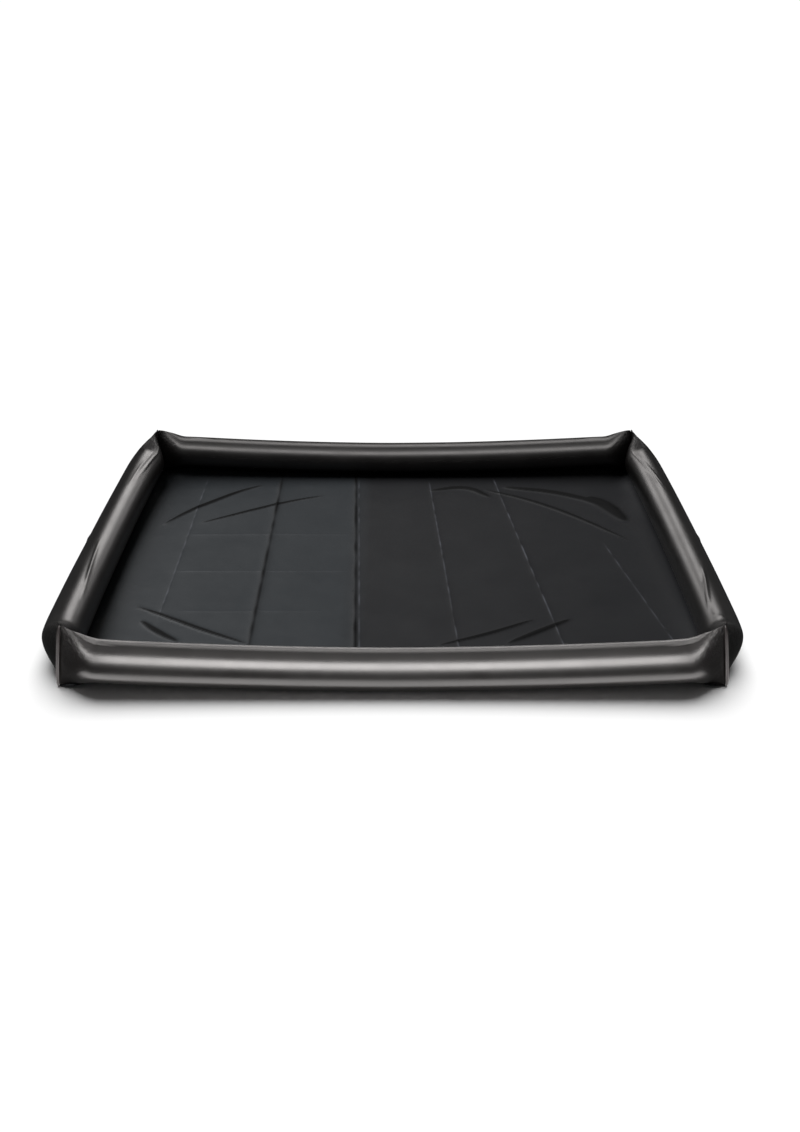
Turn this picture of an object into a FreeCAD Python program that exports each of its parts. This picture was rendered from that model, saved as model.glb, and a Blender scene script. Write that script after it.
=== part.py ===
# Inflatable-walled floor liner: a thin folded-and-opened floor sheet inside a ring of
# four air-filled film walls.  Each wall is a closed air chamber.  Its two ends are
# pinched flat and welded upright to the next wall, so a corner stands up in an ear.
# Each chamber has its own push-in valve: base, sliding stem, hinged cap, check flap.
#
# Frame: +X right along the long side, +Y towards the back, +Z up.  The origin is the
# middle of the floor sheet's underside.  Millimetres.
import FreeCAD, Part
import math
import os
import Sketcher

V = FreeCAD.Vector

# ---------------------------------------------------------------- driving sizes
SIZES = [
    ("seam_span_x", 1810, "corner seam to corner seam, along X"),
    ("seam_span_y", 1360, "corner seam to corner seam, along Y"),
    ("tube_diameter", 116, "inflated air wall, away from its ends"),
    ("side_bow", 30, "how far the left and right walls bow out at their middle"),
    ("ground_sag", 1.5, "how far a wall's round underside is pressed flat"),
    ("sheet_thickness", 0.6, "floor sheet film"),
    ("seam_width", 3, "welded films at a corner, across the seam"),
    ("seam_flange", 15, "loose weld margin that stands out from a corner"),
    ("seam_flange_thickness", 1.6, "two films and their weld"),
    ("base_diameter", 42, "valve base disc, welded to the wall's film"),
    ("base_thickness", 1.2, "valve base disc"),
    ("sleeve_length", 11, "guide sleeve behind the base disc"),
    ("sleeve_wall", 1.6, "guide sleeve"),
    ("nozzle_bore", 9, "inside of the stem, where a pump nozzle goes"),
    ("stem_wall", 1.5, "stem tube"),
    ("stem_travel", 10, "how far the stem pulls out of the wall"),
    ("collar_lip", 1.8, "stem collar, beyond the hinge's middle line"),
    ("collar_thickness", 1.2, "stem collar"),
    ("stop_ring_lip", 1.5, "ring round the stem that stops it coming out"),
    ("stop_ring_thickness", 1.5, "ring on the stem"),
    ("cap_lip", 3, "cap head, beyond the bore"),
    ("cap_thickness", 2, "cap head"),
    ("plug_length", 5, "cap plug, in the stem's bore"),
    ("plug_taper", 1.2, "how much thinner the plug's tip is, on the radius"),
    ("cap_tab_length", 3, "cap's finger tab, beyond its head"),
    ("cap_strap_width", 6, "cap strap, finger tab and hinge bead"),
    ("cap_strap_thickness", 1.2, "cap strap and finger tab"),
    ("hinge_gap", 2.7, "from the cap head's edge to its hinge"),
    ("hinge_bead_radius", 1.2, "moulded bead that the cap strap turns about"),
    ("flap_thickness", 0.8, "check flap"),
    ("flap_swing", 50, "degrees that the check flap opens into the chamber"),
    ("slide_clearance", 0.4, "round the stem in its sleeve"),
    ("seat_clearance", 0.3, "between faces of pieces that move apart"),
    ("pocket_clearance", 4, "round and behind the valve inside the chamber"),
]

RISE_POWER = 1.8        # how sharply a wall's centre line climbs towards its ends
HEIGHT_POWER = 1.7      # keeps a section's outline length as the section flattens
TAPER_STEPS = 4         # sections in a flattening end
ROUND_STATIONS = (0.96, 0.9, 0.81, 0.69, 0.54, 0.36, 0.18, 0.0)   # shares of the round length

doc = FreeCAD.newDocument("InflatableFloorLiner")
sheet = doc.addObject("Spreadsheet::Sheet", "Sizes")
for row, (alias, value, note) in enumerate(SIZES, start=1):
    sheet.set("A%d" % row, alias)
    sheet.set("B%d" % row, str(value))
    sheet.setAlias("B%d" % row, alias)
    sheet.set("C%d" % row, note)
doc.recompute()

# ------------------------------------------------- sizes that follow from the sheet
TUBE_RADIUS = "Sizes.tube_diameter / 2"
SEAM_HEIGHT = "pi / 2 * Sizes.tube_diameter"     # a tube pressed flat is half its girth high
CORNER_TAPER = "Sizes.tube_diameter"             # a tube flattens over about its own diameter
MID_HEIGHT = "(Sizes.sheet_thickness + Sizes.tube_diameter / 2 - Sizes.ground_sag)"
END_HEIGHT = "(Sizes.sheet_thickness + pi / 4 * Sizes.tube_diameter)"
BASE_RADIUS = "Sizes.base_diameter / 2"
SEAT_DEPTH = "(%s - sqrt((%s)^2 - (%s)^2))" % (TUBE_RADIUS, TUBE_RADIUS, BASE_RADIUS)
BORE_RADIUS = "(Sizes.nozzle_bore / 2)"
STEM_RADIUS = "(%s + Sizes.stem_wall)" % BORE_RADIUS
STOP_RING_RADIUS = "(%s + Sizes.stop_ring_lip)" % STEM_RADIUS
CAP_RADIUS = "(%s + Sizes.cap_lip)" % BORE_RADIUS
HINGE_OFFSET = "(%s + Sizes.hinge_gap)" % CAP_RADIUS
COLLAR_RADIUS = "(%s + Sizes.collar_lip)" % HINGE_OFFSET
SLEEVE_BORE = "(%s + Sizes.slide_clearance)" % STEM_RADIUS
SLEEVE_END = "(-Sizes.base_thickness - Sizes.sleeve_length)"
STOP_RING_TOP = "(%s - Sizes.stem_travel - Sizes.seat_clearance)" % SLEEVE_END
STEM_END = "(%s - Sizes.stop_ring_thickness)" % STOP_RING_TOP
COLLAR_TOP = "(Sizes.seat_clearance + Sizes.collar_thickness)"
CAP_UNDERSIDE = "(%s + Sizes.seat_clearance)" % COLLAR_TOP
CAP_TOP = "(%s + Sizes.cap_thickness)" % CAP_UNDERSIDE
PLUG_RADIUS = "(%s - Sizes.seat_clearance)" % BORE_RADIUS
HINGE_HEIGHT = "(%s + Sizes.hinge_bead_radius * 0.8)" % COLLAR_TOP
FLAP_TOP = "(%s - Sizes.seat_clearance)" % STEM_END
FLAP_RADIUS = "(%s + Sizes.seat_clearance)" % BORE_RADIUS
FLAP_REACH = "(2 * %s + Sizes.seat_clearance)" % FLAP_RADIUS
POCKET_DEPTH = "(-%s + %s * sin(Sizes.flap_swing) + Sizes.pocket_clearance)" % (FLAP_TOP, FLAP_REACH)
POCKET_RADIUS = "(%s + 2 * Sizes.pocket_clearance)" % STOP_RING_RADIUS


# ------------------------------------------------------------------ small helpers
def bind(obj, **expressions):
    """Tie an object's sizes to the sheet."""
    for prop, expression in expressions.items():
        obj.setExpression(prop, expression)
    return obj


def bind_place(obj, x="0", y="0", z="0"):
    """Tie an object's place to the sheet, leaving its turn alone."""
    for axis, expression in zip("xyz", (x, y, z)):
        obj.setExpression("Placement.Base." + axis, expression)
    return obj


def origin_plane(body, role):
    return next(item for item in body.Origin.OriginFeatures if item.Role == role)


def outline_sketch(body, name, plane, corners):
    """A closed outline of straight runs.  Each corner is a pair of expressions, measured
    from the body's own origin."""
    outline = body.newObject("Sketcher::SketchObject", name)
    outline.AttachmentSupport = [(origin_plane(body, plane), "")]
    outline.MapMode = "FlatFace"
    values = [(evaluate(x), evaluate(y)) for x, y in corners]
    count = len(values)
    for i in range(count):
        here, there = values[i], values[(i + 1) % count]
        outline.addGeometry(Part.LineSegment(V(*here, 0), V(*there, 0)), False)
    for i in range(count):
        outline.addConstraint(Sketcher.Constraint("Coincident", i, 2, (i + 1) % count, 1))
    for i, (corner, value) in enumerate(zip(corners, values)):
        for kind, expression, number in zip(("DistanceX", "DistanceY"), corner, value):
            index = outline.addConstraint(Sketcher.Constraint(kind, -1, 1, i, 1, number))
            outline.setExpression("Constraints[%d]" % index, expression)
    return outline


def evaluate(expression):
    """The present value of an expression on the sheet, in millimetres or degrees."""
    result = sheet.evalExpression(expression.replace("Sizes.", ""))
    return float(getattr(result, "Value", result))


def turned_body(name, profile):
    """A body of revolution about its own Z.  The profile's corners are (radius, height)."""
    body = doc.addObject("PartDesign::Body", name)
    outline = outline_sketch(body, name + "_profile", "XZ_Plane", profile)
    turn = body.newObject("PartDesign::Revolution", name + "_turned")
    turn.Profile = outline
    turn.ReferenceAxis = (outline, ["V_Axis"])
    turn.Angle = 360
    return body


def add_block(body, name, length, width, height, x, y, z):
    """A plain block fused to a body, with its lowest corner at x, y, z."""
    block = body.newObject("PartDesign::AdditiveBox", name)
    bind(block, Length=length, Width=width, Height=height)
    return bind_place(block, x, y, z)


# --------------------------------------------------------------------- floor sheet
SIDE_RADIUS = "((Sizes.seam_span_y / 2)^2 + Sizes.side_bow^2) / (2 * Sizes.side_bow)"


def floor_sheet():
    """Flat film under the whole tray, out to the walls' centre lines."""
    body = doc.addObject("PartDesign::Body", "floor_sheet")
    outline = body.newObject("Sketcher::SketchObject", "floor_outline")
    outline.AttachmentSupport = [(origin_plane(body, "XY_Plane"), "")]
    outline.MapMode = "FlatFace"
    half_x, half_y = evaluate("Sizes.seam_span_x / 2"), evaluate("Sizes.seam_span_y / 2")
    bow = evaluate("Sizes.side_bow")
    front = outline.addGeometry(Part.LineSegment(V(-half_x, -half_y, 0), V(half_x, -half_y, 0)), False)
    right = outline.addGeometry(
        Part.Arc(V(half_x, -half_y, 0), V(half_x + bow, 0, 0), V(half_x, half_y, 0)), False)
    back = outline.addGeometry(Part.LineSegment(V(half_x, half_y, 0), V(-half_x, half_y, 0)), False)
    left = outline.addGeometry(
        Part.Arc(V(-half_x, half_y, 0), V(-half_x - bow, 0, 0), V(-half_x, -half_y, 0)), False)
    for first, first_end, second, second_end in (
            (front, 2, right, 1), (right, 2, back, 1), (back, 2, left, 1), (left, 2, front, 1)):
        outline.addConstraint(Sketcher.Constraint("Coincident", first, first_end, second, second_end))
    outline.addConstraint(Sketcher.Constraint("Symmetric", front, 1, front, 2, -2))
    outline.addConstraint(Sketcher.Constraint("Symmetric", back, 1, back, 2, -2))
    outline.addConstraint(Sketcher.Constraint("Symmetric", front, 2, back, 1, -1))
    radius = (half_y ** 2 + bow ** 2) / (2 * bow)
    for kind, where, number, expression in (
            ("DistanceX", (front, 1, front, 2), 2 * half_x, "Sizes.seam_span_x"),
            ("DistanceY", (front, 2, back, 1), 2 * half_y, "Sizes.seam_span_y"),
            ("Radius", (right,), radius, SIDE_RADIUS),
            ("Radius", (left,), radius, SIDE_RADIUS)):
        index = outline.addConstraint(Sketcher.Constraint(kind, *where, number))
        outline.setExpression("Constraints[%d]" % index, expression)
    film = body.newObject("PartDesign::Pad", "floor_film")
    film.Profile = outline
    bind(film, Length="Sizes.sheet_thickness")
    return body


# ----------------------------------------------------------------------- air walls
# A section's long axis stands up, and its plane is square to the way the wall runs.
ALONG_X = FreeCAD.Rotation(V(0, 0, 1), V(0, 1, 0), V(-1, 0, 0), "XYZ")
ALONG_Y = FreeCAD.Rotation(V(0, 0, 1), V(1, 0, 0), V(0, 1, 0), "XYZ")
# The way each wall runs, the side of the tray it is on, and the way its valve faces: into
# the tray on the front wall, and out of it on the others.
WALLS = {
    "front": {"along": "X", "side": -1, "valve_side": 1},
    "back": {"along": "X", "side": 1, "valve_side": 1},
    "left": {"along": "Y", "side": -1, "valve_side": -1},
    "right": {"along": "Y", "side": 1, "valve_side": 1},
}


def wall_stations(half_length):
    """Sections of half a wall, from its end to its middle: the distance from the wall's
    middle, and the half width and half height of the section."""
    stations = []
    for step in range(TAPER_STEPS + 1):
        share = math.sin(math.pi / 2 * step / TAPER_STEPS)
        tall = 1 + (math.pi / 2 - 1) * (1 - share ** HEIGHT_POWER)
        along = "(%s - Sizes.seam_width / 2 - %s * %r)" % (half_length, CORNER_TAPER, step / TAPER_STEPS)
        wide = "%s * %r" % (TUBE_RADIUS, share) if step else "Sizes.seam_width / 2"
        stations.append((along, wide, "%s * %r" % (TUBE_RADIUS, tall)))
    round_end = "(%s - Sizes.seam_width / 2 - %s)" % (half_length, CORNER_TAPER)
    for share in ROUND_STATIONS:
        stations.append(("(%s * %r)" % (round_end, share), TUBE_RADIUS, TUBE_RADIUS))
    return stations


def air_wall(name, along, side, valve_side):
    """An air chamber: round in its length, climbing and pinched flat at its ends, pressed
    flat where it lies on the sheet, with a seat and a pocket for its valve."""
    across = "Sizes.seam_span_y / 2" if along == "X" else "Sizes.seam_span_x / 2"
    half_length = "(Sizes.seam_span_x / 2)" if along == "X" else "(Sizes.seam_span_y / 2)"
    bow = "0" if along == "X" else "Sizes.side_bow"
    half = wall_stations(half_length)
    stations = [(-1, *station) for station in half] + [(1, *station) for station in reversed(half[:-1])]
    sections = []
    for number, (end, distance, wide, tall) in enumerate(stations):
        section = doc.addObject("Part::Ellipse", "%s_section_%d" % (name, number))
        section.Placement = FreeCAD.Placement(V(), ALONG_X if along == "X" else ALONG_Y)
        bind(section, MajorRadius=tall, MinorRadius=wide)
        share = "(%s / %s)" % (distance, half_length)
        run = "%d * %s" % (end, distance)
        off = "%d * (%s + %s * (1 - %s^2))" % (side, across, bow, share)
        climb = "%s + (%s - %s) * %s^%r" % (MID_HEIGHT, END_HEIGHT, MID_HEIGHT, share, RISE_POWER)
        bind_place(section, *((run, off, climb) if along == "X" else (off, run, climb)))
        sections.append(section)
    tube = doc.addObject("Part::Loft", name + "_tube")
    tube.Sections = sections
    tube.Solid = True
    ground = doc.addObject("Part::Box", name + "_ground")
    bind(ground, Length="Sizes.seam_span_x * 2", Width="Sizes.seam_span_y * 2", Height=TUBE_RADIUS)
    bind_place(ground, "-Sizes.seam_span_x", "-Sizes.seam_span_y", "Sizes.sheet_thickness - " + TUBE_RADIUS)
    seat = valve_cylinder(name, name + "_valve_seat", BASE_RADIUS, "2 * " + SEAT_DEPTH,
                          "-Sizes.base_thickness")
    pocket = valve_cylinder(name, name + "_valve_pocket", POCKET_RADIUS, POCKET_DEPTH, "-" + POCKET_DEPTH)
    cutters = doc.addObject("Part::MultiFuse", name + "_cutters")
    cutters.Shapes = [seat, pocket]
    based = doc.addObject("Part::Cut", name + "_based")
    based.Base, based.Tool = tube, ground
    wall = doc.addObject("Part::Cut", name + "_air_wall")
    wall.Base, wall.Tool = based, cutters
    return wall


# --------------------------------------------------------------------- valve places
def valve_turn(wall):
    """The turn that takes a valve's own Z outward from its wall and its own Y upward."""
    facts = WALLS[wall]
    outward = V(0, facts["valve_side"], 0) if facts["along"] == "X" else V(facts["valve_side"], 0, 0)
    upward = V(0, 0, 1)
    return FreeCAD.Rotation(upward.cross(outward), upward, outward, "XYZ")


def valve_place(wall, local_height="0"):
    """Expressions for a point on a valve's axis, at a height over its base disc's face."""
    facts = WALLS[wall]
    across = "Sizes.seam_span_y / 2" if facts["along"] == "X" else "Sizes.seam_span_x / 2 + Sizes.side_bow"
    reach = "(%s - %s + Sizes.base_thickness + %s)" % (TUBE_RADIUS, SEAT_DEPTH, local_height)
    off = "%d * (%s) + %d * %s" % (facts["side"], across, facts["valve_side"], reach)
    return ("0", off, MID_HEIGHT) if facts["along"] == "X" else (off, "0", MID_HEIGHT)


def valve_cylinder(wall, name, radius, height, start):
    """A cylinder on a wall's valve axis that starts at a height over the base disc's face."""
    cylinder = doc.addObject("Part::Cylinder", name)
    cylinder.Placement = FreeCAD.Placement(V(), valve_turn(wall))
    bind(cylinder, Radius=radius, Height=height)
    return bind_place(cylinder, *valve_place(wall, "(%s)" % start))


def place_on_valve(body, wall):
    body.Placement = FreeCAD.Placement(V(), valve_turn(wall))
    return bind_place(body, *valve_place(wall))


# -------------------------------------------------------------------- valve pieces
def valve_base(wall):
    """Disc welded to the film, with the sleeve that guides the stem."""
    sleeve_outside = "(%s + Sizes.sleeve_wall)" % SLEEVE_BORE
    return turned_body(wall + "_valve_base", [
        (SLEEVE_BORE, "0"), (BASE_RADIUS, "0"), (BASE_RADIUS, "-Sizes.base_thickness"),
        (sleeve_outside, "-Sizes.base_thickness"), (sleeve_outside, SLEEVE_END), (SLEEVE_BORE, SLEEVE_END)])


def valve_stem(wall):
    """Tube with a collar that stops it going in, a ring that stops it coming out, and the
    bead that the cap's strap turns about."""
    body = turned_body(wall + "_valve_stem", [
        (BORE_RADIUS, STEM_END), (STOP_RING_RADIUS, STEM_END), (STOP_RING_RADIUS, STOP_RING_TOP),
        (STEM_RADIUS, STOP_RING_TOP), (STEM_RADIUS, "Sizes.seat_clearance"),
        (COLLAR_RADIUS, "Sizes.seat_clearance"), (COLLAR_RADIUS, COLLAR_TOP), (BORE_RADIUS, COLLAR_TOP)])
    bead = body.newObject("PartDesign::AdditiveCylinder", wall + "_hinge_bead")
    bead.Placement = FreeCAD.Placement(V(), FreeCAD.Rotation(V(0, 1, 0), 90))
    bind(bead, Radius="Sizes.hinge_bead_radius", Height="Sizes.cap_strap_width")
    bind_place(bead, "-Sizes.cap_strap_width / 2", HINGE_OFFSET, HINGE_HEIGHT)
    return body


def valve_cap(wall):
    """Head with a tapered plug, a short strap to the hinge bead and a finger tab."""
    body = turned_body(wall + "_valve_cap", [
        ("0", CAP_TOP), ("0", CAP_UNDERSIDE + " - Sizes.plug_length"),
        (PLUG_RADIUS + " - Sizes.plug_taper", CAP_UNDERSIDE + " - Sizes.plug_length"),
        (PLUG_RADIUS, CAP_UNDERSIDE), (CAP_RADIUS, CAP_UNDERSIDE), (CAP_RADIUS, CAP_TOP)])
    strap_end = "(%s - Sizes.hinge_bead_radius - Sizes.seat_clearance)" % HINGE_OFFSET
    tab_end = "(%s + Sizes.cap_tab_length)" % CAP_RADIUS
    edge = "-Sizes.cap_strap_width / 2"
    add_block(body, wall + "_cap_strap", "Sizes.cap_strap_width", "%s - %s" % (strap_end, BORE_RADIUS),
              "Sizes.cap_strap_thickness", edge, BORE_RADIUS, CAP_UNDERSIDE)
    add_block(body, wall + "_cap_tab", "Sizes.cap_strap_width", "%s - %s" % (tab_end, BORE_RADIUS),
              "Sizes.cap_strap_thickness", edge, "-" + tab_end, CAP_UNDERSIDE)
    return body


def valve_flap(wall):
    """Thin disc that closes the stem's inner end until air is pushed past it."""
    bottom = "%s - Sizes.flap_thickness" % FLAP_TOP
    return turned_body(wall + "_valve_flap", [
        ("0", FLAP_TOP), ("0", bottom), (FLAP_RADIUS, bottom), (FLAP_RADIUS, FLAP_TOP)])


# --------------------------------------------------------------------- corner seams
def corner_seam(name, side_x, side_y):
    """Upright weld between two pinched wall ends, with its loose margin turned outward."""
    core = doc.addObject("Part::Box", name + "_core")
    bind(core, Length="Sizes.seam_width", Width="Sizes.seam_width", Height=SEAM_HEIGHT)
    bind_place(core, "-Sizes.seam_width / 2", "-Sizes.seam_width / 2")
    margin = doc.addObject("Part::Box", name + "_margin")
    bind(margin, Length="Sizes.seam_flange + Sizes.seam_width / 2", Width="Sizes.seam_flange_thickness",
         Height=SEAM_HEIGHT)
    heading = math.degrees(math.atan2(side_y, side_x))
    turn = FreeCAD.Rotation(V(0, 0, 1), heading)
    margin.Placement = FreeCAD.Placement(V(), turn)
    sideways = turn.multVec(V(0, 1, 0))
    half = "-Sizes.seam_flange_thickness / 2"
    bind_place(margin, "%s * %r" % (half, sideways.x), "%s * %r" % (half, sideways.y))
    seam = doc.addObject("Part::MultiFuse", name)
    seam.Shapes = [core, margin]
    seam.Refine = True
    return bind_place(seam, "%d * Sizes.seam_span_x / 2" % side_x, "%d * Sizes.seam_span_y / 2" % side_y,
                      "Sizes.sheet_thickness")


# ------------------------------------------------------------------------- assembly
nodes = [floor_sheet()]
for wall, facts in WALLS.items():
    nodes.append(air_wall(wall, **facts))
for depth_name, side_y in (("front", -1), ("back", 1)):
    for width_name, side_x in (("left", -1), ("right", 1)):
        nodes.append(corner_seam("%s_%s_corner_seam" % (depth_name, width_name), side_x, side_y))
for wall in WALLS:
    for make_piece in (valve_base, valve_stem, valve_cap, valve_flap):
        nodes.append(place_on_valve(make_piece(wall), wall))
for node in nodes:
    node.Label = node.Name
doc.recompute()

# ------------------------------------------------------------------ test and export
broken = [item.Name for item in doc.Objects if "Invalid" in item.State or "Error" in item.State]
if broken:
    raise RuntimeError("did not compute: " + ", ".join(broken))
for node in nodes:
    shape = node.Shape
    if shape.isNull() or not shape.isValid() or not shape.Solids:
        raise RuntimeError("bad shape: " + node.Label)
os.makedirs("parts", exist_ok=True)
for node in nodes:
    node.Shape.exportStep("parts/%s.step" % node.Label)
    box = node.Shape.BoundBox
    print("%-26s solids %d volume %12.1f  x %8.2f %8.2f  y %8.2f %8.2f  z %7.2f %7.2f" % (
        node.Label, len(node.Shape.Solids), node.Shape.Volume,
        box.XMin, box.XMax, box.YMin, box.YMax, box.ZMin, box.ZMax))
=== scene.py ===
# %% [markdown]
# # An inflatable-walled floor liner
# The liner is a thin vinyl floor sheet inside a ring of four air-filled film walls. The
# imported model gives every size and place, so this first cell loads it and keeps its box.

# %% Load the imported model
import bmesh
import bpy
import math
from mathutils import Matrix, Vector, noise


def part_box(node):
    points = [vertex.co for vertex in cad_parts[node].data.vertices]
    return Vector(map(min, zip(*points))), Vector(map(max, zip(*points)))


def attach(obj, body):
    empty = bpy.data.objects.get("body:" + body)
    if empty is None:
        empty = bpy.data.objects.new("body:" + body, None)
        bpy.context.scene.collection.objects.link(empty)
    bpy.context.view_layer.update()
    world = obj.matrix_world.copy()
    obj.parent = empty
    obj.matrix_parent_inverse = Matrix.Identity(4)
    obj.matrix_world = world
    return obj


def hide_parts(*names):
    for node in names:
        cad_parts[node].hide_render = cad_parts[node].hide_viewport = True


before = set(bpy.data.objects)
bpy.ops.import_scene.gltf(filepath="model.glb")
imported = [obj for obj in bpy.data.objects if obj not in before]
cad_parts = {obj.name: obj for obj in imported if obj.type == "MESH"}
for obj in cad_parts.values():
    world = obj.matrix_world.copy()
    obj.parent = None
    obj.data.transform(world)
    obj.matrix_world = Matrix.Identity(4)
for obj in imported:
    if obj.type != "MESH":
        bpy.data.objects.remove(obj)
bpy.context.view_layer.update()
scene = bpy.context.scene
scene.view_settings.view_transform = "Standard"

# %% [markdown]
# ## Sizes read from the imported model
# Nothing is measured twice. The wall's box gives the tube's radius and the place of the
# corner seams, the sheet's box gives the seams' other coordinate and the side bow.

# %% Sizes
MM = 0.001
wall_low, wall_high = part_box("front_air_wall")
sheet_low, sheet_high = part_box("floor_sheet")
seam_low, seam_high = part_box("front_right_corner_seam")
sheet_top = sheet_high.z
tube_radius = (wall_high.y - wall_low.y) / 2
seam_x = wall_high.x + 1.5 * MM
seam_y = sheet_high.y
side_bow = sheet_high.x - seam_x
mid_height = sheet_top + tube_radius - 1.5 * MM
end_height = (seam_low.z + seam_high.z) / 2
half_girth = math.pi * tube_radius
WALLS = {
    "front": {"along": "x", "side": -1, "valve_side": 1},
    "back": {"along": "x", "side": 1, "valve_side": 1},
    "left": {"along": "y", "side": -1, "valve_side": -1},
    "right": {"along": "y", "side": 1, "valve_side": 1},
}
print("tube radius", round(tube_radius, 4), "seams at", round(seam_x, 4), round(seam_y, 4))


# %% [markdown]
# ## Helpers for pieces
# A bmesh becomes an object at the origin, with its place in its mesh, as the CAD nodes
# have it. Smooth shading is set on every face of a film piece.

# %% Helpers for pieces
def make_object(name, bm, material, smooth=True):
    """Turn a finished bmesh into an object with one material."""
    bmesh.ops.recalc_face_normals(bm, faces=bm.faces)
    for face in bm.faces:
        face.smooth = smooth
    mesh = bpy.data.meshes.new(name)
    bm.to_mesh(mesh)
    bm.free()
    mesh.materials.append(material)
    piece = bpy.data.objects.new(name, mesh)
    scene.collection.objects.link(piece)
    return piece


def ease(value):
    """A smooth step from 0 to 1."""
    value = min(1.0, max(0.0, value))
    return value * value * (3 - 2 * value)


def bell(distance, width):
    """A bump that is 1 at no distance and fades out over about twice its width."""
    return math.exp(-(distance / width) ** 2)


print("ease half way", ease(0.5), "bell at one width", round(bell(1, 1), 3))

# %% [markdown]
# ## Helpers for materials
# Each finish is one Principled shader. Its plain numbers are typed into the shader's own
# sockets, and only what really varies over the surface is wired in.

# %% Helpers for materials
def new_finish(name, **sockets):
    """A material with one Principled shader and the given socket values."""
    material = bpy.data.materials.new(name)
    material.use_nodes = True
    shader = material.node_tree.nodes["Principled BSDF"]
    for socket, value in sockets.items():
        shader.inputs[socket.replace("_", " ")].default_value = value
    return material, material.node_tree, shader


def add_node(tree, kind, inputs=(), **settings):
    """A node with its settings and its unlinked input values."""
    node = tree.nodes.new("ShaderNode" + kind)
    for key, value in settings.items():
        setattr(node, key, value)
    for key, value in dict(inputs).items():
        node.inputs[key].default_value = value
    return node


def object_point(tree, scale=(1, 1, 1)):
    """Object coordinates through a Mapping node."""
    place = add_node(tree, "TexCoord")
    mapping = add_node(tree, "Mapping", {"Scale": scale})
    tree.links.new(place.outputs["Object"], mapping.inputs["Vector"])
    return mapping.outputs["Vector"]


def speckle(tree, point, scale, detail=4.0, roughness=0.6):
    """A noise texture's value."""
    grain = add_node(tree, "TexNoise", {"Scale": scale, "Detail": detail, "Roughness": roughness})
    tree.links.new(point, grain.inputs["Vector"])
    return grain.outputs["Fac"]


def spread(tree, value, low, high, from_low=0.3, from_high=0.7):
    """Map a value onto a range."""
    mapped = add_node(tree, "MapRange", {"From Min": from_low, "From Max": from_high,
                                         "To Min": low, "To Max": high})
    tree.links.new(value, mapped.inputs["Value"])
    return mapped.outputs["Result"]


def bump(tree, shader, layers):
    """Chain bump nodes, each a (value, strength, distance in metres)."""
    normal = None
    for value, strength, distance in layers:
        node = add_node(tree, "Bump", {"Strength": strength, "Distance": distance})
        tree.links.new(value, node.inputs["Height"])
        if normal:
            tree.links.new(normal, node.inputs["Normal"])
        normal = node.outputs["Normal"]
    tree.links.new(normal, shader.inputs["Normal"])


print("helpers for materials ready")

# %% [markdown]
# ## The wall film
# On the real liner the walls are glossy black vinyl film, drawn tight by the air inside. A
# picture of wrinkles could be laid on it, but it would blur close up. Noise on Object
# coordinates stays sharp instead: a fine orange peel, a slow change of gloss, and a crinkle
# that a painted-on attribute, "gather", switches on only near the pinched ends. A thin
# coat gives the second, softer highlight that plasticised film has.

# %% Wall film
wall_film, tree, shader = new_finish("wall_film", Base_Color=(0.0026, 0.0021, 0.002, 1), Roughness=0.4,
                                     IOR=1.65, Coat_Weight=0.3, Coat_Roughness=0.27)
point = object_point(tree)
tree.links.new(spread(tree, speckle(tree, point, 9.0), 0.33, 0.42), shader.inputs["Roughness"])
gather = add_node(tree, "Attribute", attribute_name="gather")
crinkle = add_node(tree, "Math", operation="MULTIPLY")
tree.links.new(speckle(tree, point, 95.0, 5.0, 0.7), crinkle.inputs[0])
tree.links.new(gather.outputs["Fac"], crinkle.inputs[1])
bump(tree, shader, [(speckle(tree, point, 420.0, 2.0), 0.05, 0.2 * MM),
                    (speckle(tree, point, 60.0, 3.0), 0.10, 0.4 * MM),
                    (crinkle.outputs[0], 1.0, 5 * MM)])
print("wall film nodes", len(tree.nodes))

# %% [markdown]
# ## The floor film
# The floor is a duller charcoal vinyl that has lain folded. Two attributes come from the
# sheet's own mesh: one marks lines painted paler along some folds, the other marks painted
# shade, where a deep fold or wrinkle folds in and the colour is painted near black and the
# finish made duller. Wiring them into the colour keeps every mark on its crease, which a
# loose texture couldn't. The sheet's left part is painted a little lighter: painted light,
# standing in for the light that falls more on that side.

# %% Floor film
floor_film, tree, shader = new_finish("floor_film", Base_Color=(0.016, 0.017, 0.019, 1),
                                      Roughness=0.42, IOR=1.5, Specular_IOR_Level=0.16)
point = object_point(tree)
cloud = speckle(tree, point, 5.0)
gloss = spread(tree, cloud, 0.34, 0.46)
place = add_node(tree, "SeparateXYZ")
tree.links.new(point, place.inputs["Vector"])
# Painted light: left of about x = -0.12 m the sheet's colour is painted lighter, standing in for the light
# that falls more on that side.
side = add_node(tree, "MapRange", {"From Min": -0.16, "From Max": -0.08, "To Min": 0, "To Max": 1})
tree.links.new(place.outputs["X"], side.inputs["Value"])
painted_light_tone = add_node(tree, "Mix", data_type="RGBA")
painted_light_tone.inputs[6].default_value = (0.026, 0.029, 0.032, 1)
painted_light_tone.inputs[7].default_value = (0.0162, 0.0165, 0.0178, 1)
tree.links.new(side.outputs["Result"], painted_light_tone.inputs[0])
# Lines painted paler along some folds; the one beside the deep middle fold is a painted highlight on that
# fold's lit side.
pale_line_mask = add_node(tree, "Attribute", attribute_name="fold_paleness")
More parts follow.
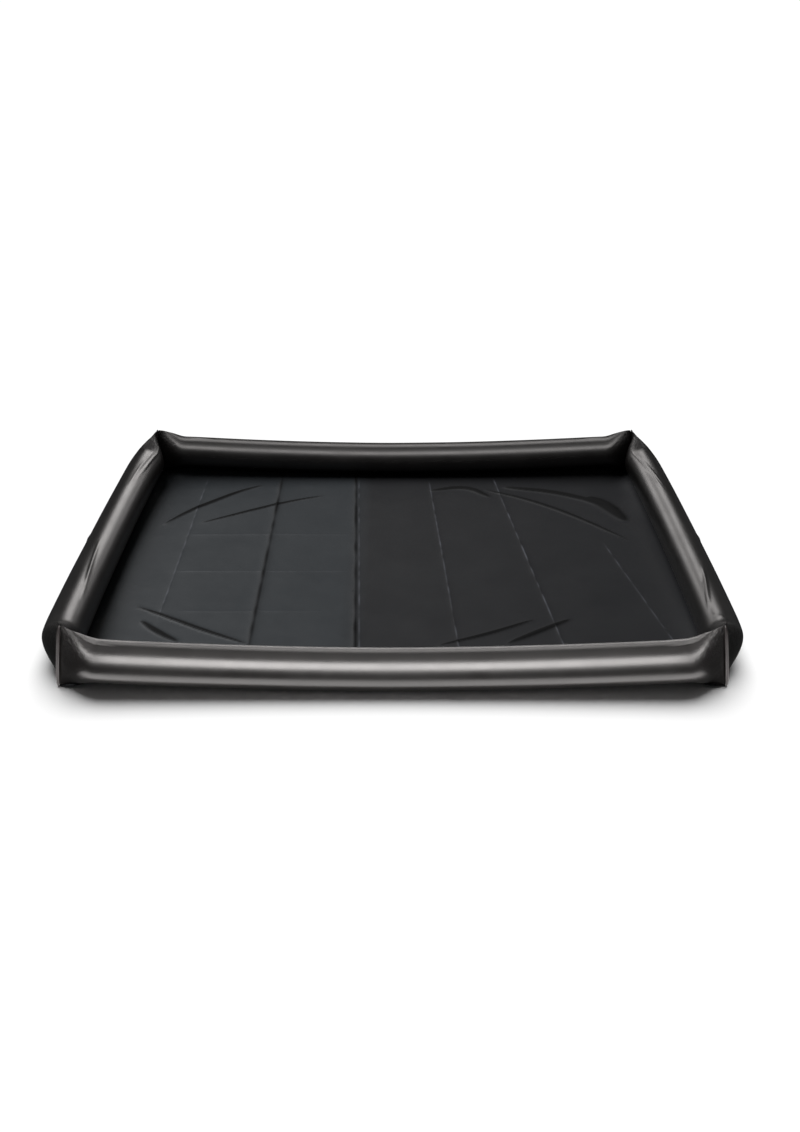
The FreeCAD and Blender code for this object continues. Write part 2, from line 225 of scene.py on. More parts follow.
# Painted shade: where a deep fold or wrinkle folds in, its colour is painted near black, and its roughness
# rises.
crease_shade_mask = add_node(tree, "Attribute", attribute_name="painted_crease_shade")
paled = add_node(tree, "Mix", data_type="RGBA")
paled.inputs[7].default_value = (0.075, 0.078, 0.09, 1)
tree.links.new(pale_line_mask.outputs["Fac"], paled.inputs[0])
tree.links.new(painted_light_tone.outputs[2], paled.inputs[6])
crease_shade_mix = add_node(tree, "Mix", data_type="RGBA")
crease_shade_mix.inputs[7].default_value = (0.0012, 0.0012, 0.0014, 1)
tree.links.new(crease_shade_mask.outputs["Fac"], crease_shade_mix.inputs[0])
tree.links.new(paled.outputs[2], crease_shade_mix.inputs[6])
tree.links.new(crease_shade_mix.outputs[2], shader.inputs["Base Color"])
dulled = add_node(tree, "Mix", data_type="FLOAT")
dulled.inputs[3].default_value = 0.85
tree.links.new(crease_shade_mask.outputs["Fac"], dulled.inputs[0])
tree.links.new(gloss, dulled.inputs[2])
tree.links.new(dulled.outputs[0], shader.inputs["Roughness"])
bump(tree, shader, [(speckle(tree, point, 500.0, 2.0), 0.06, 0.2 * MM),
                    (speckle(tree, point, 38.0, 5.0), 0.25, 0.9 * MM)])
print("floor film nodes", len(tree.nodes))

# %% [markdown]
# ## Seam film and valve vinyl
# The weld ribs are two films pressed together, so they are a little flatter than the walls.
# The valves are moulded in soft vinyl with a fine matt grain. All three differ only in a few
# numbers, so one helper makes them.


# %% Seam film and valve vinyl
def grained_finish(name, colour, roughness, grain, strength, depth):
    """A plain vinyl with one noise bump for its grain."""
    material, tree, shader = new_finish(name, Base_Color=colour, Roughness=roughness, IOR=1.5)
    point = object_point(tree)
    bump(tree, shader, [(speckle(tree, point, grain, 3.0), strength, depth)])
    return material


seam_film = grained_finish("seam_film", (0.014, 0.012, 0.012, 1), 0.34, 200.0, 0.15, 0.3 * MM)
valve_vinyl = grained_finish("valve_vinyl", (0.018, 0.018, 0.019, 1), 0.45, 900.0, 0.2, 0.15 * MM)
cap_vinyl = grained_finish("cap_vinyl", (0.030, 0.030, 0.032, 1), 0.4, 900.0, 0.2, 0.15 * MM)
print("vinyls", seam_film.name, valve_vinyl.name, cap_vinyl.name)


# %% [markdown]
# ## The shape of an air wall
# A closed film tube keeps its girth wherever it is. Where its end is pinched flat, its
# section is two equal arcs that meet in a sharp top and bottom edge, and the arcs open up
# into a full circle over one diameter. One angle says how far they have opened.
# The underside is drawn up a little beside each point, and the ears lean inwards.

# %% Section of a wall
TAPER = 2 * tube_radius
RISE_POWER = 1.8
SEAM_LEAN = 24 * MM
DRAW_UP_PEAK = 24 * MM
DRAW_UP_HEIGHT = 6.5 * MM


def wall_centre(share):
    """Height of a wall's middle line at a share of its half length."""
    return mid_height + (end_height - mid_height) * abs(share) ** RISE_POWER


def drawn_up(from_seam):
    """How far a wall's underside is pulled up off the floor beside its pointed end."""
    share = from_seam / DRAW_UP_PEAK
    return DRAW_UP_HEIGHT * share * math.exp(1 - share)


def section_opening(from_seam):
    """Half the angle of a section's arcs: 0 in the seam, a right angle where it is round."""
    wanted = tube_radius * math.sin(math.pi / 2 * min(1.0, max(0.0, from_seam / TAPER)))
    low, high = 0.01, math.pi / 2
    for _ in range(24):
        middle = (low + high) / 2
        if half_girth / (2 * middle) * (1 - math.cos(middle)) < wanted:
            low = middle
        else:
            high = middle
    return middle


def section_point(turn, opening, rounded):
    """Across and up, and the outward direction, of a film point at an angle round the tube."""
    side = 1 if math.cos(turn) >= 0 else -1
    along_arc = math.asin(max(-1.0, min(1.0, math.sin(turn)))) / (math.pi / 2) * opening
    arc_radius = half_girth / (2 * opening)
    half_width = arc_radius * (1 - math.cos(opening))
    half_height = arc_radius * math.sin(opening)
    across = side * arc_radius * (math.cos(along_arc) - math.cos(opening))
    across = across * (1 - rounded) + half_width * math.cos(turn) * rounded
    up = arc_radius * math.sin(along_arc) * (1 - rounded) + half_height * math.sin(turn) * rounded
    return across, up, (side * math.cos(along_arc), math.sin(along_arc))


def lean_in(from_seam, height):
    """How far a point near a corner is drawn towards the tray's middle by the ear's lean."""
    share = max(0.0, 1 - from_seam / (1.6 * TAPER))
    return SEAM_LEAN * share ** 2 * max(0.0, height / seam_high.z) ** 1.2


for distance in (10 * MM, 50 * MM, TAPER):
    opened = math.degrees(section_opening(distance))
    print(round(distance, 3), "m from a seam the arcs have opened", round(opened, 1), "degrees")

# %% [markdown]
# ## Pinched streaks in the side walls
# Where the side walls bend in their bow, the film has too much length and buckles into a few
# sharp streaks. A cloth run could make such streaks but not choose their places, so each is
# listed as a narrow ridge that starts and ends at nothing. Its angle round the tube is
# counted from the tray's side, over the top, to the outside.

# %% Pinched streaks
# start and end along the wall, start and end angle round it, height and half width in mm
CREASES = {
    "left": [(0.62, 0.36, 44, 66, 3.4, 3.4), (0.60, 0.42, 58, 76, 2.6, 3.0), (0.52, 0.30, 74, 82, 1.4, 4.0),
             (-0.06, -0.34, 84, 66, 3.0, 3.6), (-0.20, -0.44, 74, 56, 1.8, 3.4)],
    "right": [(0.60, 0.28, 50, 88, 3.0, 3.4), (0.52, 0.30, 66, 96, 2.4, 3.0),
              (-0.24, -0.48, 92, 64, 3.2, 3.4),
              (-0.33, -0.50, 76, 58, 2.4, 3.0), (-0.52, -0.56, 60, 96, 1.8, 4.0)],
    "front": [(-0.84, -0.72, 96, 108, 1.6, 5.0), (0.84, 0.72, 96, 106, 1.6, 5.0)],
    "back": [(-0.80, -0.66, 100, 82, 1.4, 4.0), (0.80, 0.68, 98, 84, 1.4, 4.0)],
}


def wall_point(wall, run, across, height):
    """A place on a wall: along it, outward from its middle line, and up."""
    facts = WALLS[wall]
    if facts["along"] == "x":
        return Vector((run, facts["side"] * (seam_y + across), height))
    bow = side_bow * (1 - (run / seam_y) ** 2)
    return Vector((facts["side"] * (seam_x + bow + across), run, height))


def crease_rise(wall, run, turn):
    """Outward rise of the pinched streaks in a wall's film, at a place along and round it."""
    rise = 0
    for start, end, start_turn, end_turn, tall, wide in CREASES[wall]:
        share = (run - start) / (end - start)
        if 0 < share < 1:
            middle = math.radians(start_turn + (end_turn - start_turn) * share)
            away = (turn - middle) * tube_radius
            rise += tall * MM * math.sin(math.pi * share) ** 0.8 * bell(away, wide * MM)
    return rise


print("streaks on each wall", {wall: len(streaks) for wall, streaks in CREASES.items()})

# %% [markdown]
# ## Dents for the valves
# Each valve's disc is welded on the film, which is flat there. So the film round a valve is
# pressed back to the disc's face, and behind the disc it forms a well that the stem and the
# flap move in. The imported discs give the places. Cutting a hole would leave an open edge,
# so the film is pushed instead.

# %% Valve dents
WELL_RADIUS = 17 * MM
WELL_DEPTH = 38 * MM
DENT_INNER = 22 * MM
DENT_OUTER = 40 * MM
DISC_GAP = 0.6 * MM
VALVES = {}
for wall_name, wall_facts in WALLS.items():
    base_low, base_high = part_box(wall_name + "_valve_base")
    pointing = Vector((wall_facts["valve_side"], 0, 0))
    if wall_facts["along"] == "x":
        pointing = Vector((0, wall_facts["valve_side"], 0))
    disc_face = max(base_low.dot(pointing), base_high.dot(pointing))
    VALVES[wall_name] = ((base_low + base_high) / 2, pointing, disc_face)


def valve_dent(wall, spot):
    """Press the film back to a valve's base disc, with a well behind it for the stem."""
    middle, outward, face = VALVES[wall]
    depth = spot.dot(outward) - face
    offset = spot - middle
    offset -= outward * offset.dot(outward)
    away = offset.length
    if depth < -12 * MM or away > DENT_OUTER:
        return spot
    if away < WELL_RADIUS:
        return spot - outward * (depth + WELL_DEPTH)
    keep = ease((away - DENT_INNER) / (16 * MM))
    return spot - outward * (depth + DISC_GAP) * (1 - keep)


for wall, (middle, outward, face) in VALVES.items():
    print(wall, "valve at", [round(v, 3) for v in middle], "faces", list(outward))

# %% [markdown]
# ## Build the four air walls
# A wall starts as a closed cylinder from create_cone, cut into rings that crowd towards
# its ends, where the shape changes fastest. Every point is then moved to its place on the
# inflated section. Near the ends, noise that follows the angle gives the fan of gathers.
# Subdivision rounds what is left, and the cylinder's caps close the pinched ends.

# %% Build the air walls
ROUND_SEGMENTS = 96
RINGS = {"x": 216, "y": 168}
CROWDING = 0.6
GATHER_REACH = 63 * MM
GATHER_START = 12 * MM
END_GAP = 1.5 * MM


def end_ripple(turn, run, from_seam, near_end, half_length, side):
    """Gathers near a wall's pinched end, and the slow waves of the whole tube."""
    fan = noise.noise(Vector((turn * 5.5, from_seam * 9, half_length * 7 + side)))
    pucker = noise.noise(Vector((run * 75, turn * 5, 9 + side)))
    slow_wave = 0.4 * MM * noise.noise(Vector((run * 5, turn * 0.7, side * 3 + half_length)))
    return slow_wave + near_end * min(1, from_seam / (15 * MM)) * (0.7 * fan + 0.4 * pucker) * MM


def air_wall(wall):
    """An inflated film tube from seam to seam."""
    along = WALLS[wall]["along"]
    half_length = seam_x if along == "x" else seam_y
    bm = bmesh.new()
    bmesh.ops.create_cone(bm, cap_ends=True, segments=ROUND_SEGMENTS, radius1=1, radius2=1, depth=2)
    long_edges = [edge for edge in bm.edges if abs(edge.verts[0].co.z - edge.verts[1].co.z) > 1]
    bmesh.ops.subdivide_edges(bm, edges=long_edges, cuts=RINGS[along] - 1)
    gather = bm.verts.layers.float.new("gather")
    openings = {}
    for vert in bm.verts:
        turn = math.atan2(vert.co.y, vert.co.x)
        ratio = round(abs(vert.co.z), 5)
        share = math.copysign(ratio - CROWDING * math.sin(2 * math.pi * ratio) / (2 * math.pi), vert.co.z)
        from_seam = (1 - abs(share)) * half_length
        if ratio not in openings:
            openings[ratio] = section_opening(from_seam)
        across, up, outward = section_point(turn, openings[ratio], ease(from_seam / (80 * MM)))
        run = share * (half_length - END_GAP)
        facing = math.pi - turn if -math.pi / 2 < turn else -math.pi - turn
        near_end = bell(max(0.0, from_seam - GATHER_START), GATHER_REACH)
        ripple = end_ripple(turn, run, from_seam, near_end, half_length, WALLS[wall]["side"])
        ripple += crease_rise(wall, run, facing)
        up += drawn_up(from_seam) * ease(-up / (55 * MM))
        across += outward[0] * ripple
        up += outward[1] * ripple
        across = max(across, 1 * MM - from_seam)
        height = max(wall_centre(share) + up, sheet_top)
        spot = wall_point(wall, run, across, height)
        inward = lean_in(from_seam, height)
        spot.x -= math.copysign(inward, spot.x)
        spot.y -= math.copysign(inward, spot.y)
        vert.co = valve_dent(wall, spot)
        vert[gather] = near_end * ease((up + 20 * MM) / (60 * MM))
    piece = make_object(wall + "_wall_film", bm, wall_film)
    rounding = piece.modifiers.new("rounding", "SUBSURF")
    rounding.levels = rounding.render_levels = 1
    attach(piece, "liner")
    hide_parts(wall + "_air_wall")
    return piece


for wall in WALLS:
    wall_piece = air_wall(wall)
    print(wall_piece.name, len(wall_piece.data.polygons), "faces before subdivision")

# %% [markdown]
# ## Folds and wrinkles of the floor sheet
# The sheet was stored folded, so it keeps long creases from front to back and weaker ones
# across. The air walls also pull its corners tight, which raises long diagonal wrinkles
# there. Each is a line with a height and a half width, as a pattern maker would mark it.

# %% Folds and wrinkles
# x at the back and front, first and last y, height and half width in mm, how pale it is painted
LONG_FOLDS = [
    (-0.702, -0.702, 0.62, -0.36, 1.6, 5, 0.8), (-0.424, -0.413, 0.7, -0.7, 4.6, 7, 0.0),
    # The second fold on the next line, just right of the deep middle fold, is painted pale as a painted
    # highlight on that fold's lit side.
    (-0.148, -0.103, 0.7, -0.7, 5.0, 6, 0.0), (-0.136, -0.090, 0.7, -0.7, 0.8, 4, 0.7),
    (0.125, 0.199, 0.6, -0.56, 1.4, 4, 0.7), (0.365, 0.512, 0.66, -0.7, 1.6, 4, 0.9),
    (0.602, 0.850, 0.12, -0.60, 1.2, 4, 0.6),
]
# y, first and last x, height in mm
CROSS_FOLDS = [(0.176, -0.72, -0.13, 1.2), (-0.071, -0.72, -0.13, 0.7), (-0.308, -0.66, -0.20, 0.9)]
# points along the wrinkle, half width and height in mm
PULLS = [
    ([(-0.80, 0.25), (-0.73, 0.35), (-0.65, 0.43), (-0.57, 0.51), (-0.49, 0.56)], 8, 6.5),
    ([(-0.67, 0.26), (-0.55, 0.33), (-0.40, 0.42), (-0.26, 0.47)], 6, 4.6),
    ([(-0.78, -0.28), (-0.64, -0.36), (-0.54, -0.42), (-0.42, -0.48)], 6, 4.6),
    ([(-0.75, -0.36), (-0.69, -0.42), (-0.62, -0.47)], 8, 5.0),
    ([(0.13, 0.51), (0.26, 0.55), (0.35, 0.46)], 11, 6.0),
    ([(0.33, 0.52), (0.49, 0.44), (0.64, 0.31), (0.79, 0.14)], 7, 5.4),
    ([(0.40, 0.54), (0.61, 0.50), (0.80, 0.36)], 13, 8.0),
    ([(0.70, 0.46), (0.76, 0.40), (0.81, 0.27)], 24, 8.0),
    ([(0.13, -0.49), (0.28, -0.43), (0.42, -0.355)], 6, 4.6),
    ([(0.33, -0.48), (0.43, -0.415), (0.53, -0.35)], 8, 5.0),
]
# how wide a pale painted line is, and a cross fold's half width, in mm
PALE_WIDTH = 2.2
CROSS_WIDTH = 5
print(len(LONG_FOLDS), "long folds,", len(CROSS_FOLDS), "cross folds,", len(PULLS), "pulled wrinkles")

# %% [markdown]
# ## The shape of one wrinkle
# A few points make a stiff, kinked line, so its corners are cut twice until it curves. A
# wrinkle is highest in its middle and tapers to nothing at both ends, so a point's height
# depends on how far along the line and how far from it the point is.


# %% One wrinkle
def rounded_path(points, rounds=2):
    """Cut a path's corners so that it curves."""
    for _ in range(rounds):
        cut = [points[0]]
        for (x1, y1), (x2, y2) in zip(points, points[1:]):
            cut.append((0.75 * x1 + 0.25 * x2, 0.75 * y1 + 0.25 * y2))
            cut.append((0.25 * x1 + 0.75 * x2, 0.25 * y1 + 0.75 * y2))
        points = cut + [points[-1]]
    return points


def pull_rise(x, y, path, width, rise):
    """Height of a tapering wrinkle that the walls pull across a corner of the sheet."""
    best, place = 1.0, 0.0
    last = len(path) - 1
    for number in range(last):
        (x1, y1), (x2, y2) = path[number], path[number + 1]
        run_x, run_y = x2 - x1, y2 - y1
        share = ((x - x1) * run_x + (y - y1) * run_y) / (run_x ** 2 + run_y ** 2)
        share = min(1.0, max(0.0, share))
        away = math.hypot(x - x1 - share * run_x, y - y1 - share * run_y)
        if away < best:
            best, place = away, (number + share) / last
    swell = math.sin(math.pi * min(1, max(0, place))) ** 0.8
    return rise * swell * bell(best, width * (0.35 + 0.65 * swell))


SMOOTH_PULLS = []
for pull_points, pull_width, pull_height in PULLS:
    pull_path = rounded_path(pull_points)
    xs = [x for x, y in pull_path]
    ys = [y for x, y in pull_path]
    SMOOTH_PULLS.append((pull_path, pull_width * MM, pull_height * MM,
                         (min(xs) - 0.04, max(xs) + 0.04, min(ys) - 0.04, max(ys) + 0.04)))
print("points along each wrinkle", [len(pull[0]) for pull in SMOOTH_PULLS])

# %% [markdown]
# ## Where the sheet meets the walls
# The sheet is welded along the walls' undersides. Near a corner the underside stands off
# the ground, so the sheet's edge rises with it and reaches a few millimetres further under
# the wall. Otherwise a gap would let the ground show.

# %% The sheet's edges
EDGE_REACH = 55 * MM


def sheet_half_length(y):
    """Half the sheet's length at a place across it: its ends are bowed."""
    return seam_x + side_bow * (1 - (y / seam_y) ** 2)


def edge_lift(share, half_length):
    """How far a wall's underside stands off the floor at a share of its half length."""
    from_seam = (1 - abs(share)) * half_length
    opening = section_opening(from_seam)
    underside = wall_centre(share) - half_girth * math.sin(opening) / (2 * opening) + drawn_up(from_seam)
    return max(0.0, underside - sheet_top) + 0.8 * MM * ease((120 * MM - from_seam) / (60 * MM))


def tuck(from_seam):
    """How far the sheet reaches under a wall's lifted end, past the wall's middle line."""
    from_seam = max(0.0, from_seam)
    under = 0.4 * tube_radius * math.sin(math.pi / 2 * min(1.0, from_seam / TAPER))
    return min(12 * MM, under) * (1 - ease((from_seam - 70 * MM) / (100 * MM)))


print("sheet's edge 40 mm from a corner rises", round(edge_lift(1 - 0.04 / seam_x, seam_x), 4), "m")

# %% [markdown]
# ## The height of the sheet
# The sheet lies on the ground with slow waves, and finer ones where it was folded more. Folds
# and wrinkles add their own heights. The same sums say how pale a fold is painted and how much
# painted shade darkens the inside of a deep fold or wrinkle, so shape and finish always agree.


# %% The sheet's height
def slow_waves(x, y):
    """Height of the sheet's own waves, with finer ones on its left half."""
    wide = 1.8 * noise.noise(Vector((x * 3.2, y * 4.5, 3)))
    narrow = 0.8 * noise.noise(Vector((x * 9, y * 12, 5)))
    left_side = ease((0.06 - x) / 0.2)
    fine = 0.35 * left_side * noise.noise(Vector((x * 40, y * 26, 7)))
    return (1.4 + wide + narrow + fine) * MM


def floor_height(x, y):
    """The sheet's height, how pale its folds are painted, and its painted shade in deep creases."""
    half_width = sheet_half_length(y)
    near_long = edge_lift(min(1.0, abs(x) / seam_x), seam_x) * bell(seam_y - abs(y), EDGE_REACH)
    near_side = edge_lift(abs(y) / seam_y, seam_y) * bell(half_width - abs(x), EDGE_REACH)
    slack = ease((seam_y - abs(y)) / (150 * MM)) * ease((half_width - abs(x)) / (150 * MM))
    height = max(near_long, near_side) + slack * slow_waves(x, y)
    paleness = 0.0
    # pulled is how much painted shade a place gets, in the deep folds and the pulled wrinkles.
    pulled = 0.0
    for back_x, front_x, first_y, last_y, rise, width, whitened in LONG_FOLDS:
        middle = (back_x + front_x) / 2 + (back_x - front_x) / 2 * y / seam_y
        if abs(x - middle) < 0.06 and last_y < y < first_y:
            fade = min(1, (first_y - y) / 0.06, (y - last_y) / 0.06)
            uneven = 0.75 + 0.6 * noise.noise(Vector((y * 14, back_x * 10, 4)))
            away = abs(x - middle)
            height += fade * slack * uneven * rise * MM * math.exp(-away / (width * MM))
            patchy = max(0, 0.45 + 1.3 * noise.noise(Vector((y * 23, back_x * 10, 8))))
            paleness += fade * whitened * patchy * bell(away, PALE_WIDTH * MM)
            # Painted shade along the insides of the deep folds.
            if rise > 4:
                pulled += fade * uneven * bell(away, width * MM)
    for fold_y, first_x, last_x, rise in CROSS_FOLDS:
        if abs(y - fold_y) < 0.05 and first_x < x < last_x:
            fade = min(1, (x - first_x) / 0.05, (last_x - x) / 0.05)
            height += fade * rise * MM * math.exp(-abs(y - fold_y) / (CROSS_WIDTH * MM))
            patchy = 0.6 + noise.noise(Vector((x * 12, fold_y, 2)))
            paleness += 0.16 * fade * patchy * bell(y - fold_y, 2.5 * MM)
    for path, width, rise, (x_low, x_high, y_low, y_high) in SMOOTH_PULLS:
        if x_low < x < x_high and y_low < y < y_high:
            here = pull_rise(x, y, path, width, rise)
            height += here
            # Painted shade over a pulled wrinkle, strongest where it stands highest.
            pulled += min(1, 2.4 * here / rise)
    return max(0.0, height), min(1.0, max(0.0, paleness)), min(1.0, pulled)


print("height in the middle", round(floor_height(0, 0)[0], 4), "m")

# %% [markdown]
# ## Build the floor sheet
# A grid with bowed ends is the sheet. Even, small squares would be wasteful, so bisect_plane
# cuts it only along the folds, and only the edges near a wrinkle are subdivided. Solidify
# then gives the film its thickness, upwards, so the underside stays on the ground.

# %% Build the floor sheet
SHEET_STEP = 11 * MM
FILM_THICKNESS = 0.45 * MM


def near_pull(x, y):
    """Whether a pulled wrinkle shapes this place, so that it needs smaller faces."""
    for path, width, rise, (x_low, x_high, y_low, y_high) in SMOOTH_PULLS:
        if x_low < x < x_high and y_low < y < y_high:
            if pull_rise(x, y, path, width * 1.6, 1) > 0.03:
                return True
    return False


def cut_line(bm, place, direction):
    """Cut the whole grid along one straight line."""
    geometry = bm.verts[:] + bm.edges[:] + bm.faces[:]
    bmesh.ops.bisect_plane(bm, geom=geometry, plane_co=place, plane_no=direction)


def sheet_grid():
    """The flat sheet with bowed ends, cut finer along its folds and wrinkles."""
    bm = bmesh.new()
    columns = int(2 * seam_x / SHEET_STEP)
    rows = int(2 * seam_y / SHEET_STEP)
    bmesh.ops.create_grid(bm, x_segments=columns, y_segments=rows, size=1)
    for vert in bm.verts:
        y = vert.co.y * seam_y
        vert.co = Vector((vert.co.x * sheet_half_length(y), y, 0))
    for back_x, front_x, first_y, last_y, rise, width, whitened in LONG_FOLDS:
        middle = Vector(((back_x + front_x) / 2, 0, 0))
        across = Vector((2 * seam_y, front_x - back_x, 0)).normalized()
        for offset in (-width, -PALE_WIDTH, 0, PALE_WIDTH, width):
            cut_line(bm, middle + across * offset * MM, across)
    for fold_y, first_x, last_x, rise in CROSS_FOLDS:
        for offset in (-CROSS_WIDTH, 0, CROSS_WIDTH):
            cut_line(bm, (0, fold_y + offset * MM, 0), (0, 1, 0))
    pulled = [edge for edge in bm.edges if near_pull(*((edge.verts[0].co + edge.verts[1].co) / 2).xy)]
    bmesh.ops.subdivide_edges(bm, edges=pulled, cuts=1, use_grid_fill=True)
    bmesh.ops.triangulate(bm, faces=[face for face in bm.faces if len(face.verts) > 4])
    return bm


def floor_sheet():
    """The whole floor sheet, as one film with its folds and wrinkles."""
    bm = sheet_grid()
    fold_paleness = bm.verts.layers.float.new("fold_paleness")
    # Painted shade: this attribute darkens the sheet's colour in deep folds and wrinkles.
    painted_crease_shade = bm.verts.layers.float.new("painted_crease_shade")
    for vert in bm.verts:
        height, vert[fold_paleness], vert[painted_crease_shade] = floor_height(vert.co.x, vert.co.y)
        vert.co.z = 0.05 * MM + height
        tucked_x = tuck(seam_y - abs(vert.co.y))
        tucked_y = tuck(seam_x - abs(vert.co.x))
        if vert.is_boundary:
            if abs(vert.co.y) > seam_y - 1 * MM:
                vert.co.y += math.copysign(tucked_y, vert.co.y)
            if abs(vert.co.x) > sheet_half_length(vert.co.y) - 1 * MM:
                vert.co.x += math.copysign(tucked_x, vert.co.x)
    piece = make_object("floor_film_sheet", bm, floor_film)
    film = piece.modifiers.new("film", "SOLIDIFY")
    film.thickness = FILM_THICKNESS
    film.offset = 1
    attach(piece, "liner")
    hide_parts("floor_sheet")
    return piece


floor_piece = floor_sheet()
print("floor sheet faces", len(floor_piece.data.polygons))

# %% [markdown]
# ## The corner seams
# At each corner two walls' flat ends are welded together, with a margin outside the weld. It
# is thick and soft, so it reads as a rounded rib. A cylinder is cut into short
# lengths and squeezed into that shape. It leans inwards exactly as the walls' ends do.


# %% Corner seams
def corner_rib(name, side_x, side_y):
    """The welded margin at a corner: a soft rounded rib that leans with the ears."""
    bm = bmesh.new()
    bmesh.ops.create_cone(bm, cap_ends=True, segments=16, radius1=1, radius2=1, depth=2)
    long_edges = [edge for edge in bm.edges if abs(edge.verts[0].co.z - edge.verts[1].co.z) > 1]
    bmesh.ops.subdivide_edges(bm, edges=long_edges, cuts=40)
    for vert in bm.verts:
        climb = (vert.co.z + 1) / 2
        height = sheet_top + climb * (seam_high.z - sheet_top)
        point_share = 1 - abs(2 * climb - 1) ** 8
        out = (3.5 + 4.5 * vert.co.x) * (0.4 + 0.6 * point_share) * MM
        thick = vert.co.y * (1.8 + 6.2 * point_share) * (1 - 0.15 * (vert.co.x + 1)) * MM
        wave = 0.8 * MM * noise.noise(Vector((height * 30, side_x, side_y)))
        inward = lean_in(0, height)
        diagonal = Vector((side_x, side_y, 0)).normalized()
        square = Vector((-side_y, side_x, 0)).normalized()
        vert.co = (Vector((side_x * (seam_x - inward), side_y * (seam_y - inward), height))
                   + diagonal * out + square * (thick + wave))
    piece = make_object(name + "_weld", bm, seam_film)
    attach(piece, "liner")
    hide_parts(name + "_corner_seam")
    return piece


for depth_name, side_y in (("front", -1), ("back", 1)):
    for width_name, side_x in (("left", -1), ("right", 1)):
        rib = corner_rib(depth_name + "_" + width_name, side_x, side_y)
        print(rib.name, len(rib.data.polygons), "faces")

# %% [markdown]
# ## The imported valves
# The valves are moulded, rigid pieces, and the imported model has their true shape. Only
# their finish changes: the caps are a touch lighter than the rest, as separate mouldings are.

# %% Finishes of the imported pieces
for node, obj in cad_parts.items():
    finish = None
    if node.endswith("corner_seam"):
        finish = seam_film
    elif node.endswith("valve_cap"):
        finish = cap_vinyl
    elif "_valve_" in node:
        finish = valve_vinyl
    if finish:
        for material_slot in obj.material_slots:
            material_slot.material = finish
        print(node, "has", finish.name)

# %% [markdown]
# ## The studio floor
# A plain pale floor, large enough to have no visible edge. It doesn't show in reflections,
# so that black film keeps its deep dark bands.

# %% Studio floor
FLOOR_SIZE = 300


def stage_plane(name, size, colour):
    """A flat square that belongs to the studio and not to the object."""
    bm = bmesh.new()
    bmesh.ops.create_grid(bm, x_segments=1, y_segments=1, size=size / 2)
    material, tree, shader = new_finish(name + "_finish", Base_Color=colour, Roughness=0.9)
    plane = make_object(name, bm, material, smooth=False)
    plane.visible_glossy = False
    return plane


floor_plane = stage_plane("studio_floor", FLOOR_SIZE, (0.8, 0.8, 0.8, 1))
print("studio floor", FLOOR_SIZE, "m square")

# %% [markdown]
# ## Lamps and what they light
# Black gloss shows only what it reflects, so each group of film has a soft lamp of its
# own, placed where the highlight should run along the tube. Light linking keeps these lamps
# off the floor and the sheet. Others go round the whole object, so that it reads from
# every side.


# %% Lamp helpers
def receivers(name, pieces, state):
    """A collection that says which pieces a lamp lights, or which it leaves out."""
    group = bpy.data.collections.new(name)
    for piece_name in pieces:
        group.objects.link(bpy.data.objects[piece_name])
    for entry in group.collection_objects:
        entry.light_linking.link_state = state
    return group


def soft_box(name, size_x, size_y, place, target, brightness, lit):
    """A rectangular lamp that the camera doesn't see, given by how bright its face is."""
    data = bpy.data.lights.new(name, "AREA")
    data.shape = "RECTANGLE"
    data.size, data.size_y = size_x, size_y
    data.energy = brightness * math.pi * size_x * size_y
    data.color = (1, 0.965, 0.95)
    lamp = bpy.data.objects.new(name, data)
    lamp.location = place
    lamp.rotation_euler = (Vector(target) - Vector(place)).to_track_quat("-Z", "Y").to_euler()
    lamp.visible_camera = False
    lamp.light_linking.receiver_collection = lit
    scene.collection.objects.link(lamp)
    return lamp


def wash(name, strength, angle, direction, lit):
    """A soft sun for one flat surface, so that it is even from edge to edge."""
    data = bpy.data.lights.new(name, "SUN")
    data.energy = strength
    data.angle = math.radians(angle)
    lamp = bpy.data.objects.new(name, data)
    lamp.rotation_euler = Vector(direction).to_track_quat("-Z", "Y").to_euler()
    lamp.light_linking.receiver_collection = lit
    scene.collection.objects.link(lamp)
    return lamp


print("lamp helpers ready")

# %% What each lamp lights
FRONT_RIBS = ["front_left_weld", "front_right_weld"]
flat_things = [floor_plane.name, floor_piece.name]
no_flat = receivers("no_flat", flat_things, "EXCLUDE")
floor_only = receivers("floor_only", [floor_plane.name], "INCLUDE")
only_ribs = receivers("only_ribs", FRONT_RIBS, "INCLUDE")
only_front = receivers("only_front", ["front_wall_film"] + FRONT_RIBS, "INCLUDE")
only_back = receivers("only_back", ["back_wall_film", "back_left_weld", "back_right_weld"], "INCLUDE")
only_sides = receivers("only_sides", ["left_wall_film", "right_wall_film"], "INCLUDE")
only_sheet = receivers("only_sheet", [floor_piece.name], "INCLUDE")
print("groups", no_flat.name, only_front.name, only_back.name, only_sides.name, only_sheet.name)

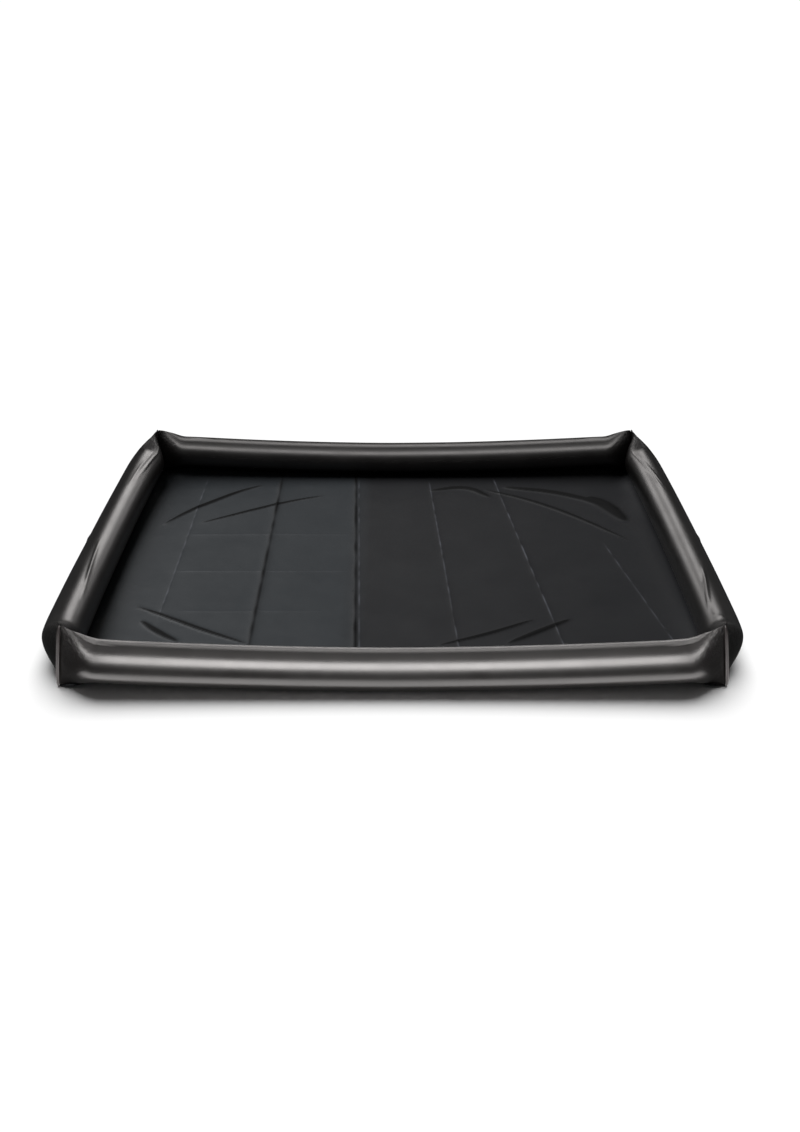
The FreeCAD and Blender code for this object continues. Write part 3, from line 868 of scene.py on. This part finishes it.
# %% Lamps for the films
soft_box("front_box", 2.85, 1.5, (0, -2.3, 1.75), (0, -0.74, 0.06), 11.0, only_front)
soft_box("front_glow", 1.86, 0.09, (0, -0.795, 0.004), (0, -0.795, 1), 2.6, only_front)
for side in (-1, 1):
    soft_box("corner_glow", 0.6, 0.5, (side * 1.05, -0.9, 0.004), (side * 1.05, -0.9, 1), 1.7, only_ribs)
soft_box("far_strip", 4, 0.7, (0, 3, 0.4), (0, 0, 0.1), 3.6, only_front)
soft_box("over_box", 2.6, 0.75, (0, -0.4, 1.9), (0, 0.74, 0.06), 4.2, only_back)
soft_box("left_box", 1.2, 1.0, (-0.75, 3, 1.75), (0, 0, 0), 3.6, only_sides)
soft_box("right_box", 0.6, 1.0, (1.0, 3, 1.75), (0.5, 0, 0), 2.6, only_sides)
soft_box("rear_box", 3.3, 1.3, (0, 2.6, 2.3), (0, 0.7, 0.06), 2.6, no_flat)
for side in (-1, 1):
    soft_box("side_box", 2.4, 1.3, (side * 2.7, 0.2, 1.9), (side * 0.9, 0, 0.06), 1.8, no_flat)
soft_box("fill_box", 3, 2, (0, 0, 3.2), (0, 0, 0), 0.5, no_flat)
soft_box("sheet_sheen", 3.4, 2.1, (-0.7, 3, 1.55), (0, 0, 0), 0.15, only_sheet)
wash("sheet_wash", 4.2, 52, (0.55, -0.35, -1), only_sheet)
wash("floor_wash", 4.3, 50, (0, -0.42, -1), floor_only)
print(len(bpy.data.lights), "lamps")

# %% [markdown]
# ## The backdrop
# The sky is plain white to look at, but dim as a light, so that the lamps do the work.

# %% Backdrop
SKY_LIGHT = 0.05
world = bpy.data.worlds.new("studio")
scene.world = world
world.use_nodes = True
sky = world.node_tree.nodes["Background"]
sky.inputs["Color"].default_value = (1, 1, 1, 1)
backdrop = add_node(world.node_tree, "LightPath")
seen = add_node(world.node_tree, "MapRange", {"To Min": SKY_LIGHT, "To Max": 1.0})
world.node_tree.links.new(backdrop.outputs["Is Camera Ray"], seen.inputs["Value"])
world.node_tree.links.new(seen.outputs["Result"], sky.inputs["Strength"])
print("sky lights at", SKY_LIGHT)

# %% [markdown]
# ## The camera
# It stands in front of the liner, looks down on it by about 30 degrees, and isn't shifted.

# %% Camera
LOOK_DOWN = 30.31
camera_data = bpy.data.cameras.new("camera")
camera = bpy.data.objects.new("camera", camera_data)
scene.collection.objects.link(camera)
scene.camera = camera
camera_data.sensor_width = 36
camera_data.lens = 33.65
camera.location = (0.0206, -2.996, 1.732)
camera.rotation_euler = (math.radians(90 - LOOK_DOWN), 0, 0)
print("camera", camera_data.lens, "mm at", [round(v, 2) for v in camera.location])
